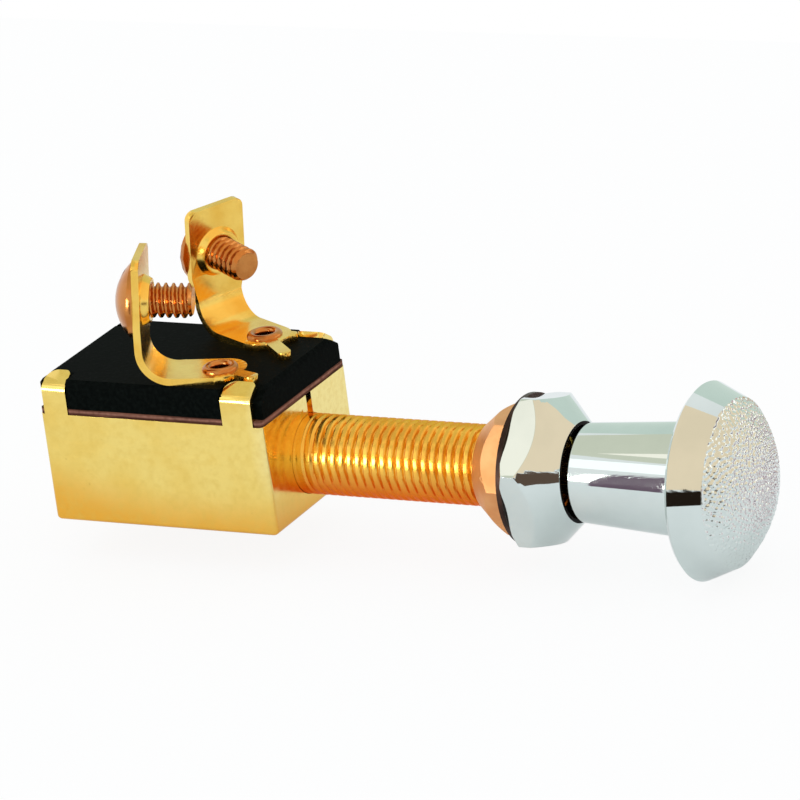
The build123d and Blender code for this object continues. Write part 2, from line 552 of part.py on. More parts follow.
# Bridging contact, with a pad under each rivet
with BuildPart() as bridge_contact:
    with BuildSketch(Plane.XY.offset(contact_floor_z)):
        with Locations((CONTACT_X, 0)):
            RectangleRounded(CONTACT_WIDTH, CONTACT_LENGTH, CONTACT_CORNER_RADIUS)
    extrude(amount=CONTACT_THICKNESS)
    with BuildSketch(Plane.XY.offset(CONTACT_TOP_Z)):
        with Locations((CONTACT_X, 0)), GridLocations(0, RIVET_SPACING, 1, 2):
            Circle(CONTACT_PAD_DIA / 2)
    extrude(amount=CONTACT_PAD_HEIGHT)

# Contact spring in the carriage's pocket
spring_height = contact_floor_z - SPRING_POCKET_FLOOR_Z - SPRING_WIRE_DIA
with BuildPart() as contact_spring:
    with BuildLine() as coil:
        Helix(pitch=spring_height / SPRING_TURNS, height=spring_height,
              radius=(SPRING_DIA - SPRING_WIRE_DIA) / 2,
              center=(CONTACT_X, 0, SPRING_POCKET_FLOOR_Z + SPRING_WIRE_DIA / 2))
    with BuildSketch(Plane(coil.line @ 0, z_dir=coil.line % 0)):
        Circle(SPRING_WIRE_DIA / 2)
    sweep(is_frenet=True)

# One STEP file per piece
pieces = {
    "case": case.part,
    "neck": neck.part,
    "fibre_sheet": fibre_sheet.part,
    "terminal_board": terminal_board.part,
    "lock_washer": lock_washer.part,
    "back_nut": back_nut.part,
    "face_nut": face_nut.part,
    "knob": knob.part,
    "plunger_rod": plunger_rod.part,
    "rod_clip": rod_clip.part,
    "carriage": carriage.part,
    "bridge_contact": bridge_contact.part,
    "contact_spring": contact_spring.part,
}
for side in TERMINAL_SIDES:
    pieces[f"{side}_terminal"] = terminals[side]
    pieces[f"{side}_rivet"] = rivets[side]
    pieces[f"{side}_terminal_screw"] = screws[side]

os.makedirs("parts", exist_ok=True)
for name, part in pieces.items():
    part.label = name
    export_step(part, f"parts/{name}.step")
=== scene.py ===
"""Push-pull panel switch, dressed for a studio picture.

Metres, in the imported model's own frame: +X runs along the neck to the knob, +Z is up through the
terminals, and the origin is on the neck's axis at the face nut's back. Sizes below are in millimetres.
"""

import logging
from dataclasses import dataclass
from enum import Enum

import bmesh
import bpy
import numpy as np
from mathutils import Matrix, Vector


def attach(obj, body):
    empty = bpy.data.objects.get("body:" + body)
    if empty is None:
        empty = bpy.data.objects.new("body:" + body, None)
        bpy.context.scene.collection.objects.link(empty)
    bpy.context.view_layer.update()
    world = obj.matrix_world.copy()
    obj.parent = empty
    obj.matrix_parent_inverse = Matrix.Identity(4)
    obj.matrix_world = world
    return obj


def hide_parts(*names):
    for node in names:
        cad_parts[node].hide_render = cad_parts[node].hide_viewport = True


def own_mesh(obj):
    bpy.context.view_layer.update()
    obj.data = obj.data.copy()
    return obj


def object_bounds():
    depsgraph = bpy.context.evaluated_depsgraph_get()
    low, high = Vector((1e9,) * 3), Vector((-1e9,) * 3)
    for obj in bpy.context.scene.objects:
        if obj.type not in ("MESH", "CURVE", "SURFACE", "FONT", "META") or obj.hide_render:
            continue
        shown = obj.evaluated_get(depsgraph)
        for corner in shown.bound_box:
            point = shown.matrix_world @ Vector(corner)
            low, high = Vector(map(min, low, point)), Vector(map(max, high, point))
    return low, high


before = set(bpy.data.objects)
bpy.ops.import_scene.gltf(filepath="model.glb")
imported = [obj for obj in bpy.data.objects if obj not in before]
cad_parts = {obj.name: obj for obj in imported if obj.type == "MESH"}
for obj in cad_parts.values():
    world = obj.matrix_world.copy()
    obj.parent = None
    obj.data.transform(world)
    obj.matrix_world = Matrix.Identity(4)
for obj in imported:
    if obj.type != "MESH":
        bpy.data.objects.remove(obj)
CAD_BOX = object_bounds()

MM = 0.001
FULL_TURN = 2 * np.pi
GOLDEN_ANGLE = np.pi * (3.0 - np.sqrt(5.0))
SHARP_ANGLE = np.radians(38.0)
MERGE_DISTANCE = 1e-7
TINY = 1e-6
WHITE = (1.0, 1.0, 1.0)
EVEN = (1.0, 1.0, 1.0)

# The part of a noise's range from 0 to 1 that holds nearly all of its values
NOISE_SPAN = (0.3, 0.7)

# Octaves of finer noise in each kind of pattern
SMOOTH_NOISE = 1.0
MAT_NOISE = 2.0
CLOUD_NOISE = 3.0
MARK_NOISE = 4.0
GRAIN_NOISE = 5.0

log = logging.getLogger("push_pull_switch")

Triple = tuple[float, float, float]
Colour = Triple
Span = tuple[float, float]
Knots = tuple[Span, ...]
Socket = bpy.types.NodeSocket


class Body(Enum):
    """The bodies of the switch that new pieces move with."""

    SWITCH = "switch_body"
    PLUNGER = "plunger"


class Side(Enum):
    """The two screw terminals: name, side of the board, headings of base and leg, and lean, in degrees."""

    NEAR = ("near", -1.0, 13.0, 21.0, 6.0)
    FAR = ("far", 1.0, -27.0, -25.0, 8.0)

    @property
    def word(self) -> str:
        """The side's name in the node names."""
        return self.value[0]

    @property
    def sign(self) -> float:
        """-1 towards -Y, 1 towards +Y."""
        return self.value[1]

    @property
    def base_heading(self) -> float:
        """Heading of the base from leg to rivet in radians, from +X towards +Y."""
        return np.radians(self.value[2])

    @property
    def leg_heading(self) -> float:
        """Heading of the leg's front face in radians, from +X towards +Y."""
        return np.radians(self.value[3])

    @property
    def lean(self) -> float:
        """How far the leg leans forwards from upright, in radians."""
        return np.radians(self.value[4])


class NodeBench:
    """Lays the shader nodes of one material or world."""

    def __init__(self, tree: bpy.types.NodeTree) -> None:
        """Starts from an empty tree.

        Args:
            tree: the node tree to fill.
        """
        self.tree = tree
        tree.nodes.clear()

    def add(self, kind: str, inputs: dict | None = None, **settings) -> bpy.types.Node:
        """Adds one node.

        Args:
            kind: the node's class name without its ShaderNode prefix.
            inputs: socket name or number to a value, or to the socket that feeds it.
            settings: the node's own properties.

        Returns:
            The new node.
        """
        node = self.tree.nodes.new("ShaderNode" + kind)
        for key, value in settings.items():
            setattr(node, key, value)
        for key, value in (inputs or {}).items():
            if isinstance(value, Socket):
                self.tree.links.new(value, node.inputs[key])
            else:
                node.inputs[key].default_value = value
        return node

    def place(self) -> bpy.types.NodeOutputs:
        """X, Y and Z of the piece's own coordinates."""
        return self.add("SeparateXYZ", {"Vector": self.add("TexCoord").outputs["Object"]}).outputs

    def math(self, operation: str, first: Socket, second: Socket | float = 0.0) -> Socket:
        """One sum on one or two values."""
        return self.add("Math", {0: first, 1: second}, operation=operation).outputs[0]

    def mix(self, share: Socket, ground: Socket, over: Colour) -> Socket:
        """A colour laid over another by a share from 0 to 1."""
        node = self.add("MixRGB", {"Fac": share, "Color1": ground, "Color2": (*over, 1.0)})
        return node.outputs[0]

    def noise(self, size_mm: float, detail: float = CLOUD_NOISE, stretch: Triple = EVEN) -> Socket:
        """Noise in the piece's own coordinates.

        Args:
            size_mm: width of one cloud or grain.
            detail: octaves of finer noise.
            stretch: how much longer a grain is along X, Y and Z.

        Returns:
            The noise's value, from 0 to 1.
        """
        place = self.add("TexCoord").outputs["Object"]
        scale = tuple(1.0 / (size_mm * MM * s) for s in stretch)
        place = self.add("Mapping", {"Vector": place, "Scale": scale}).outputs[0]
        return self.add("TexNoise", {"Vector": place, "Scale": 1.0, "Detail": detail}).outputs[0]

    def ramp(self, value: Socket, stops: list[tuple[float, Colour]]) -> Socket:
        """A run of colours along a value.

        Args:
            value: where along the run a point lies.
            stops: place and colour of each stop, in order.

        Returns:
            The colour.
        """
        node = self.add("ValToRGB", {"Fac": value})
        elements = node.color_ramp.elements
        while len(elements) < len(stops):
            elements.new(1.0)
        for element, (place, colour) in zip(elements, stops):
            element.position = place
            element.color = (*colour, 1.0)
        return node.outputs["Color"]

    def spread(self, value: Socket, low: float, high: float) -> Socket:
        """Maps noise, which stays near its middle, onto a range.

        Args:
            value: the noise.
            low: what its low values become.
            high: what its high values become.

        Returns:
            The mapped value.
        """
        least, most = NOISE_SPAN
        inputs = {"Value": value, "From Min": least, "From Max": most, "To Min": low, "To Max": high}
        return self.add("MapRange", inputs).outputs[0]

    def band(self, value: Socket, low: float, high: float) -> Socket:
        """0 at low and beyond it, 1 at high and beyond it, with a straight run between them."""
        return self.add("MapRange", {"Value": value, "From Min": low, "From Max": high}).outputs[0]

    def bump(self, height: Socket, depth_mm: float, over: Socket | None = None) -> Socket:
        """Relief in the surface's normal.

        Args:
            height: the relief, from 0 to 1.
            depth_mm: its depth.
            over: a normal that it is laid over.

        Returns:
            The normal.
        """
        inputs = {"Height": height, "Distance": depth_mm * MM, "Strength": 1.0}
        if over is not None:
            inputs["Normal"] = over
        return self.add("Bump", inputs).outputs[0]

    def glow(self, colour: Socket | Colour, strength: float) -> Socket:
        """A surface that gives off its colour."""
        value = colour if isinstance(colour, Socket) else (*colour, 1.0)
        return self.add("Emission", {"Color": value, "Strength": strength}).outputs[0]


def blank_material(name: str) -> tuple[bpy.types.Material, NodeBench]:
    """Starts a material.

    Args:
        name: the material's name.

    Returns:
        The material, with an empty tree, and the bench for its nodes.
    """
    made = bpy.data.materials.new(name)
    made.use_nodes = True
    return made, NodeBench(made.node_tree)


@dataclass(frozen=True)
class MetalFinish:
    """A bare or plated metal: clouds of tone, fine marks from handling and a slight wave in the sheet."""

    slot: str
    bright: Colour
    dull: Colour
    roughness: Span
    cloud_mm: float
    mark_mm: float
    mark_depth_mm: float
    wave_mm: float
    wave_depth_mm: float
    mark_stretch: Triple = EVEN
    lacquer: float = 0.0
    lacquer_roughness: float = 0.1
    edge_tint: Colour = WHITE
    cloud_span: Span = (0.36, 0.58)

    def tone(self, bench: NodeBench) -> Socket:
        """The metal's colour, in clouds from dull to bright."""
        low, high = self.cloud_span
        return bench.ramp(bench.noise(self.cloud_mm), [(low, self.dull), (high, self.bright)])

    def gloss(self, bench: NodeBench, mark: Socket) -> Socket:
        """The metal's roughness, which follows its marks."""
        return bench.spread(mark, *self.roughness)

    def shade(self, bench: NodeBench) -> Socket:
        """Lays the metal's nodes.

        Args:
            bench: where the nodes go.

        Returns:
            The finished surface.
        """
        mark = bench.noise(self.mark_mm, MARK_NOISE, self.mark_stretch)
        wave = bench.noise(self.wave_mm, SMOOTH_NOISE)
        normal = bench.bump(wave, self.wave_depth_mm)
        normal = bench.bump(mark, self.mark_depth_mm, normal)
        shader = bench.add("BsdfPrincipled", {
            "Base Color": self.tone(bench),
            "Metallic": 1.0,
            "Roughness": self.gloss(bench, mark),
            "Normal": normal,
            "Coat Weight": self.lacquer,
            "Coat Roughness": self.lacquer_roughness,
            "Specular Tint": (*self.edge_tint, 1.0),
        })
        return shader.outputs[0]


@dataclass(frozen=True)
class PaintedFootShadeSheet(MetalFinish):
    """Brass with a painted shade: its tone is painted deeper and more orange towards its underside and its
    rear.
    """

    # Painted shade: the deeper colour painted towards the foot, and towards the rear with a tilt.
    foot: Colour = (0.76, 0.43, 0.075)
    foot_shade_low_mm: float = -8.0
    foot_shade_high_mm: float = -2.0
    foot_shade_tilt: float = 0.0
    level_x_mm: float = -52.0

    def sheet(self, bench: NodeBench) -> Socket:
        """The sheet's own tone, away from the painted shade."""
        return super().tone(bench)

    def tone(self, bench: NodeBench) -> Socket:
        """The sheet's tone, mixed with the painted shade's deeper tone near the foot.

        The painted shade's level is Z + tilt (X - level X) behind level X, so that with a tilt it climbs
        towards the rear, and Z ahead of it.

        Args:
            bench: where the nodes go.

        Returns:
            The colour.
        """
        place = bench.place()
        behind = bench.math("MINIMUM", bench.math("SUBTRACT", place["X"], self.level_x_mm * MM), 0.0)
        level = bench.math("ADD", place["Z"], bench.math("MULTIPLY", behind, self.foot_shade_tilt))
        # Share of the painted shade: 1 at the foot's low level, 0 at its high level and above.
        depth = bench.add("MapRange", {
            "Value": level, "From Min": self.foot_shade_low_mm * MM, "From Max": self.foot_shade_high_mm * MM,
            "To Min": 1.0, "To Max": 0.0,
        }, interpolation_type="SMOOTHSTEP").outputs[0]
        return bench.mix(depth, self.sheet(bench), self.foot)


@dataclass(frozen=True)
class CaseSheet(PaintedFootShadeSheet):
    """Sheet with a painted highlight on the upper front wall, a painted shade at its foot, a fine mottle
    and a few dark specks.
    """

    # Painted highlight: the paler colour painted on the upper part of the front wall.
    front: Colour = (0.94, 0.77, 0.30)
    front_back_x_mm: float = -36.5
    front_x_mm: float = -34.5
    front_low_z_mm: float = -3.0
    front_high_z_mm: float = 3.0
    mottle: Colour = (0.76, 0.52, 0.11)
    mottle_mm: float = 0.9
    mottle_span: Span = (0.42, 0.80)
    mottle_share: float = 0.45
    speck: Colour = (0.45, 0.26, 0.05)
    speck_mm: float = 0.5
    speck_span: Span = (0.78, 0.84)
    speck_share: float = 0.5

    def sheet(self, bench: NodeBench) -> Socket:
        """The sheet's own tone, with a painted highlight towards the upper part of the front wall.

        Args:
            bench: where the nodes go.

        Returns:
            The colour.
        """
        place = bench.place()
        # ahead times above is where the painted highlight lies on the front wall.
        ahead = bench.band(place["X"], self.front_back_x_mm * MM, self.front_x_mm * MM)
        above = bench.band(place["Z"], self.front_low_z_mm * MM, self.front_high_z_mm * MM)
        return bench.mix(bench.math("MULTIPLY", ahead, above), super().sheet(bench), self.front)

    def tone(self, bench: NodeBench) -> Socket:
        """The tone with the painted shade at its foot, and the mottle and the specks laid over it.

        Args:
            bench: where the nodes go.

        Returns:
            The colour.
        """
        mottle = bench.band(bench.noise(self.mottle_mm, MARK_NOISE), *self.mottle_span)
        mottle = bench.math("MULTIPLY", mottle, self.mottle_share)
        specks = bench.band(bench.noise(self.speck_mm, SMOOTH_NOISE), *self.speck_span)
        specks = bench.math("MULTIPLY", specks, self.speck_share)
        return bench.mix(specks, bench.mix(mottle, super().tone(bench), self.mottle), self.speck)


@dataclass(frozen=True)
class PlatedNut(MetalFinish):
    """Bright plate on a nut whose recess is painted near black as shade, and dull."""

    recess_radius_mm: float = 6.86
    recess_back_x_mm: float = 3.5
    # Painted shade: the near-black colour of the recess, where shade falls in the gap before the knob.
    recess_painted_shade: Colour = (0.012, 0.010, 0.010)
    recess_roughness: float = 0.6

    def recess(self, bench: NodeBench) -> Socket:
        """Tells the recess from the plate: it is within a radius of X and ahead of its own back.

        Args:
            bench: where the nodes go.

        Returns:
            1 inside the recess and 0 on the plate.
        """
        place = bench.place()
        across = bench.math("POWER", place["Y"], 2.0)
        up = bench.math("POWER", place["Z"], 2.0)
        reach = bench.math("SQRT", bench.math("ADD", across, up))
        inside = bench.math("LESS_THAN", reach, self.recess_radius_mm * MM)
        ahead = bench.math("GREATER_THAN", place["X"], self.recess_back_x_mm * MM)
        return bench.math("MULTIPLY", inside, ahead)

    def tone(self, bench: NodeBench) -> Socket:
        """The plate's tone, with painted shade in the recess."""
        return bench.mix(self.recess(bench), super().tone(bench), self.recess_painted_shade)

    def gloss(self, bench: NodeBench, mark: Socket) -> Socket:
        """The plate's roughness, dull in the recess.

        Args:
            bench: where the nodes go.
            mark: the noise of the plate's marks.

        Returns:
            The roughness.
        """
        plate = super().gloss(bench, mark)
        inputs = {"Value": self.recess(bench), "To Min": plate, "To Max": self.recess_roughness}
        return bench.add("MapRange", inputs).outputs[0]


@dataclass(frozen=True)
class CastFace(MetalFinish):
    """Bright plate that is satin on the knob's cast face."""

    face_back_x_mm: float = 29.8
    face_roughness: float = 0.18

    def gloss(self, bench: NodeBench, mark: Socket) -> Socket:
        """The plate's roughness, satin ahead of the face's edge.

        Args:
            bench: where the nodes go.
            mark: the noise of the plate's marks.

        Returns:
            The roughness.
        """
        face = bench.math("GREATER_THAN", bench.place()["X"], self.face_back_x_mm * MM)
        inputs = {"Value": face, "To Min": super().gloss(bench, mark), "To Max": self.face_roughness}
        return bench.add("MapRange", inputs).outputs[0]


@dataclass(frozen=True)
class MouldedFinish:
    """A moulded or pressed insulating sheet: a fine grain with paler specks."""

    slot: str
    ground: Colour
    speck: Colour
    roughness: Span
    grain_mm: float
    grain_depth_mm: float
    stretch: Triple = EVEN
    sheen: float = 0.5
    speck_span: Span = (0.42, 0.72)

    def tone(self, bench: NodeBench, grain: Socket) -> Socket:
        """The moulding's colour, which follows its grain."""
        low, high = self.speck_span
        return bench.ramp(grain, [(low, self.ground), (high, self.speck)])

    def shade(self, bench: NodeBench) -> Socket:
        """Lays the moulding's nodes.

        Args:
            bench: where the nodes go.

        Returns:
            The finished surface.
        """
        grain = bench.noise(self.grain_mm, GRAIN_NOISE, self.stretch)
        shader = bench.add("BsdfPrincipled", {
            "Base Color": self.tone(bench, grain),
            "Roughness": bench.spread(grain, *self.roughness),
            "Specular IOR Level": self.sheen,
            "Normal": bench.bump(grain, self.grain_depth_mm),
        })
        return shader.outputs[0]


@dataclass(frozen=True)
class FibreSheet(MouldedFinish):
    """Pressed fibre whose cut edge is paler along its middle."""

    core: Colour = (0.38, 0.175, 0.125)
    core_z_mm: float = 8.86
    core_half_mm: float = 0.30
    core_grain_mm: float = 0.8
    core_cover: Span = (0.3, 1.0)

    def tone(self, bench: NodeBench, grain: Socket) -> Socket:
        """The fibre's colour, with the core laid over it in patches.

        Args:
            bench: where the nodes go.
            grain: the noise of the fibre's grain.

        Returns:
            The colour.
        """
        away = bench.math("ABSOLUTE", bench.math("SUBTRACT", bench.place()["Z"], self.core_z_mm * MM))
        core = bench.band(away, self.core_half_mm * MM, 0.0)
        patch = bench.spread(bench.noise(self.core_grain_mm), *self.core_cover)
        return bench.mix(bench.math("MULTIPLY", core, patch), super().tone(bench, grain), self.core)


class Finish(Enum):
    """The finishes of the switch."""

    CASE = CaseSheet(
        "case_brass", bright=(0.90, 0.69, 0.205), dull=(0.86, 0.605, 0.142), roughness=(0.10, 0.22),
        cloud_mm=9.0, mark_mm=0.7, mark_depth_mm=0.0015, wave_mm=14.0, wave_depth_mm=0.01,
        mark_stretch=(4.0, 1.0, 1.0),
        # foot and its levels and tilt: the painted shade towards the case's floor side and rear.
        foot=(0.84, 0.43, 0.055), foot_shade_low_mm=-8.8, foot_shade_high_mm=-0.5, foot_shade_tilt=0.20,
    )
    NECK = PaintedFootShadeSheet(
        "neck_brass", bright=(0.87, 0.50, 0.078), dull=(0.79, 0.40, 0.052), roughness=(0.20, 0.28),
        cloud_mm=5.0, mark_mm=0.4, mark_depth_mm=0.001, wave_mm=8.0, wave_depth_mm=0.002,
        lacquer=0.25, lacquer_roughness=0.12, edge_tint=(1.0, 0.5, 0.12),
        # foot and its levels: the painted shade on the neck's underside.
        foot=(0.84, 0.17, 0.003), foot_shade_low_mm=-5.2, foot_shade_high_mm=1.2,
    )
    BACK_NUT = MetalFinish(
        "neck_brass", bright=(0.80, 0.42, 0.18), dull=(0.74, 0.35, 0.135), roughness=(0.42, 0.52),
        cloud_mm=5.0, mark_mm=0.4, mark_depth_mm=0.001, wave_mm=8.0, wave_depth_mm=0.002,
    )
    TERMINAL = MetalFinish(
        "terminal_brass", bright=(0.92, 0.62, 0.135), dull=(0.84, 0.49, 0.075), roughness=(0.14, 0.26),
        cloud_mm=6.0, mark_mm=0.5, mark_depth_mm=0.002, wave_mm=7.0, wave_depth_mm=0.02,
    )
    ROD = MetalFinish(
        "rod_brass", bright=(0.80, 0.55, 0.22), dull=(0.70, 0.45, 0.16), roughness=(0.15, 0.3),
        cloud_mm=6.0, mark_mm=0.3, mark_depth_mm=0.002, wave_mm=9.0, wave_depth_mm=0.002,
        mark_stretch=(8.0, 1.0, 1.0),
    )
    COPPER = MetalFinish(
        "copper", bright=(0.58, 0.235, 0.062), dull=(0.47, 0.165, 0.038), roughness=(0.12, 0.24),
        cloud_mm=3.0, mark_mm=0.3, mark_depth_mm=0.003, wave_mm=4.0, wave_depth_mm=0.005,
    )
    CHROME = CastFace(
        "chrome", bright=(0.68, 0.75, 0.735), dull=(0.64, 0.71, 0.695), roughness=(0.02, 0.05),
        cloud_mm=8.0, mark_mm=0.4, mark_depth_mm=0.0005, wave_mm=10.0, wave_depth_mm=0.003,
    )
    NUT_CHROME = PlatedNut(
        "chrome", bright=(0.68, 0.75, 0.735), dull=(0.64, 0.71, 0.695), roughness=(0.02, 0.05),
        cloud_mm=8.0, mark_mm=0.4, mark_depth_mm=0.0005, wave_mm=10.0, wave_depth_mm=0.003,
    )
    WASHER = MetalFinish(
        "washer_steel", bright=(0.06, 0.035, 0.028), dull=(0.03, 0.018, 0.015), roughness=(0.3, 0.5),
        cloud_mm=3.0, mark_mm=0.2, mark_depth_mm=0.003, wave_mm=5.0, wave_depth_mm=0.002,
    )
    STEEL = MetalFinish(
        "clip_steel", bright=(0.52, 0.52, 0.53), dull=(0.44, 0.44, 0.45), roughness=(0.2, 0.35),
        cloud_mm=4.0, mark_mm=0.3, mark_depth_mm=0.002, wave_mm=6.0, wave_depth_mm=0.002,
    )
    BOARD = MouldedFinish(
        "board", ground=(0.0012, 0.0022, 0.0019), speck=(0.0045, 0.0066, 0.0058), roughness=(0.5, 0.7),
        grain_mm=0.6, grain_depth_mm=0.03, sheen=0.012,
    )
    FIBRE = FibreSheet(
        "fibre", ground=(0.05, 0.014, 0.007), speck=(0.20, 0.08, 0.05), roughness=(0.6, 0.8),
        grain_mm=0.5, grain_depth_mm=0.03, stretch=(10.0, 10.0, 0.5), sheen=0.08,
    )
    CARRIAGE = MouldedFinish(
        "carriage", ground=(0.05, 0.03, 0.02), speck=(0.10, 0.07, 0.05), roughness=(0.4, 0.6),
        grain_mm=0.5, grain_depth_mm=0.02,
    )

    def material(self) -> bpy.types.Material:
        """Makes the finish's material, once.

        Returns:
            The material.
        """
        name = "finish_" + self.name.lower()
        made = bpy.data.materials.get(name)
        if made is None:
            made, bench = blank_material(name)
            bench.add("OutputMaterial", {"Surface": self.value.shade(bench)})
        return made


@dataclass
class Shell:
    """One closed surface: its points (n, 3) in millimetres and the corners of its faces (m, 4)."""

    points: np.ndarray
    quads: np.ndarray

    @classmethod
    def from_grid(cls, grid: np.ndarray, wrap_rows: bool = False, wrap_columns: bool = True) -> "Shell":
        """Joins a grid of points with quads, row i to row i + 1 and column j to column j + 1.

        Args:
            grid: points (rows, columns, 3).
            wrap_rows: also join the last row to the first.
            wrap_columns: also join the last column to the first.

        Returns:
            The surface.
        """
        rows, columns = grid.shape[:2]
        row = np.arange(rows if wrap_rows else rows - 1)[:, None]
        column = np.arange(columns if wrap_columns else columns - 1)[None, :]
        next_row, next_column = (row + 1) % rows, (column + 1) % columns
        corners = (row * columns + column, row * columns + next_column,
                   next_row * columns + next_column, next_row * columns + column)
        return cls(grid.reshape(-1, 3), np.stack(corners, axis=-1).reshape(-1, 4))

    def piece(self, name: str, *others: "Shell") -> bpy.types.Object:
        """Makes one object of this surface and others, its faces outwards and its poles closed.

        Args:
            name: the object's name.
            others: more closed surfaces of the same piece.

        Returns:
            The object, at the origin, with its place in its mesh.
        """
        shells = [self, *others]
        starts = np.cumsum([0] + [len(shell.points) for shell in shells[:-1]])
        points = np.concatenate([shell.points for shell in shells]) * MM
        quads = np.concatenate([shell.quads + start for shell, start in zip(shells, starts)])
        mesh = bpy.data.meshes.new(name)
        mesh.from_pydata(points, [], quads.tolist())
        work = bmesh.new()
        work.from_mesh(mesh)
        bmesh.ops.remove_doubles(work, verts=work.verts, dist=MERGE_DISTANCE)
        bmesh.ops.dissolve_degenerate(work, edges=work.edges, dist=MERGE_DISTANCE)
        bmesh.ops.recalc_face_normals(work, faces=work.faces)
        work.to_mesh(mesh)
        work.free()
        mesh.polygons.foreach_set("use_smooth", np.ones(len(mesh.polygons), dtype=bool))
        mesh.set_sharp_from_angle(angle=SHARP_ANGLE)
        made = bpy.data.objects.new(name, mesh)
        bpy.context.scene.collection.objects.link(made)
        return made


def lathe(x: np.ndarray, radius: np.ndarray, angle: np.ndarray) -> np.ndarray:
    """Points of a turned surface about X: (x, r cos a, r sin a) for each row's x and r and each angle a.

    Args:
        x: place along the axis, (rows,) or (rows, columns).
        radius: distance from the axis, (rows,) or (rows, columns).
        angle: angle from +Y towards +Z in radians, (columns,).

    Returns:
        A grid of points (rows, columns, 3).
    """
    shape = (len(radius), len(angle))
    x = np.broadcast_to(x if x.ndim == 2 else x[:, None], shape)
    radius = np.broadcast_to(radius if radius.ndim == 2 else radius[:, None], shape)
    return np.stack([x, radius * np.cos(angle), radius * np.sin(angle)], axis=-1)


def thread_depth(x: np.ndarray, angle: np.ndarray, pitch: float, crest: float, root: float) -> np.ndarray:
    """How deep a single-start thread is cut at each place, from 0 on the crest to 1 in the root.

    The phase x / pitch - angle / full turn runs down a flank from crest to root and up again, with flats
    of the given shares of the pitch on the crest and in the root. The flank f is eased at both ends by
    f^2 (3 - 2 f).

    Args:
        x: place along the axis (rows,).
        angle: angle round the axis (columns,).
        pitch: advance in one turn.
        crest: share of the pitch that is flat crest.
        root: share of the pitch that is flat root.

    Returns:
        Depths (rows, columns).
    """
    phase = x[:, None] / pitch - angle[None, :] / FULL_TURN
    climb = np.abs(2.0 * (phase - np.floor(phase)) - 1.0)
    flank = np.clip((climb - crest) / (1.0 - crest - root), 0.0, 1.0)
    return flank * flank * (3.0 - 2.0 * flank)


def finished(piece: bpy.types.Object, finish: Finish, body: Body, *nodes: str) -> bpy.types.Object:
    """Gives a new piece its finish and its place among the bodies.

    Args:
        piece: the new piece.
        finish: its finish.
        body: the body that it moves with.
        nodes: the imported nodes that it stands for.

    Returns:
        The piece.
    """
    piece.data.materials.append(finish.material())
    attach(piece, body.value)
    if nodes:
        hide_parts(*nodes)
    log.info("piece %s: %d faces, %s", piece.name, len(piece.data.polygons), finish.name)
    return piece


@dataclass
class ThreadedNeck:
    """The neck: a tube threaded from the case to its front end, with its flange inside the case."""

    crest_dia: float = 11.11
    bore_dia: float = 6.51
    flange_dia: float = 13.6
    flange_flat_z: float = -6.4
    flange_back_x: float = -35.8
    flange_front_x: float = -34.9
    thread_back_x: float = -34.0
    front_x: float = 3.6
    end_bevel: float = 0.6
    pitch: float = 1.27
    depth: float = 0.41
    crest_flat: float = 0.44
    root_flat: float = 0.04
    run_in: float = 3.0
    columns: int = 120
    rows_per_pitch: int = 12

    def build(self) -> bpy.types.Object:
        """The neck as one lathed grid that closes through the bore.

        The radius is the crest's less the thread's depth, which fades in over the run-in's pitches, and
        never more than the end bevel's cone allows. The flange's radius is cut flat below.

        Returns:
            The finished piece.
        """
        angle = np.linspace(0.0, FULL_TURN, self.columns, endpoint=False)
        rows = int((self.front_x - self.thread_back_x) / self.pitch * self.rows_per_pitch)
        x = np.linspace(self.thread_back_x, self.front_x, rows)
        fade = np.clip((x - self.thread_back_x) / (self.run_in * self.pitch), 0.0, 1.0)[:, None]
        cut = thread_depth(x, angle, self.pitch, self.crest_flat, self.root_flat)
        radius = self.crest_dia / 2 - self.depth * fade * cut
        radius = np.minimum(radius, (self.crest_dia / 2 - self.end_bevel + self.front_x - x)[:, None])
        flat = self.flange_flat_z / np.minimum(np.sin(angle), -TINY)
        flange = np.minimum(self.flange_dia / 2, flat)
        round_bore = np.full(self.columns, self.bore_dia / 2)
        crest = np.full(self.columns, self.crest_dia / 2)
        back, front = self.flange_back_x, self.flange_front_x
        all_x = np.concatenate([[back, back, front, front], x, [self.front_x]])
        all_radius = np.vstack([round_bore, flange, flange, crest, radius, round_bore])
        shell = Shell.from_grid(lathe(all_x, all_radius, angle), wrap_rows=True)
        return finished(shell.piece("threaded_neck"), Finish.NECK, Body.SWITCH, "neck")


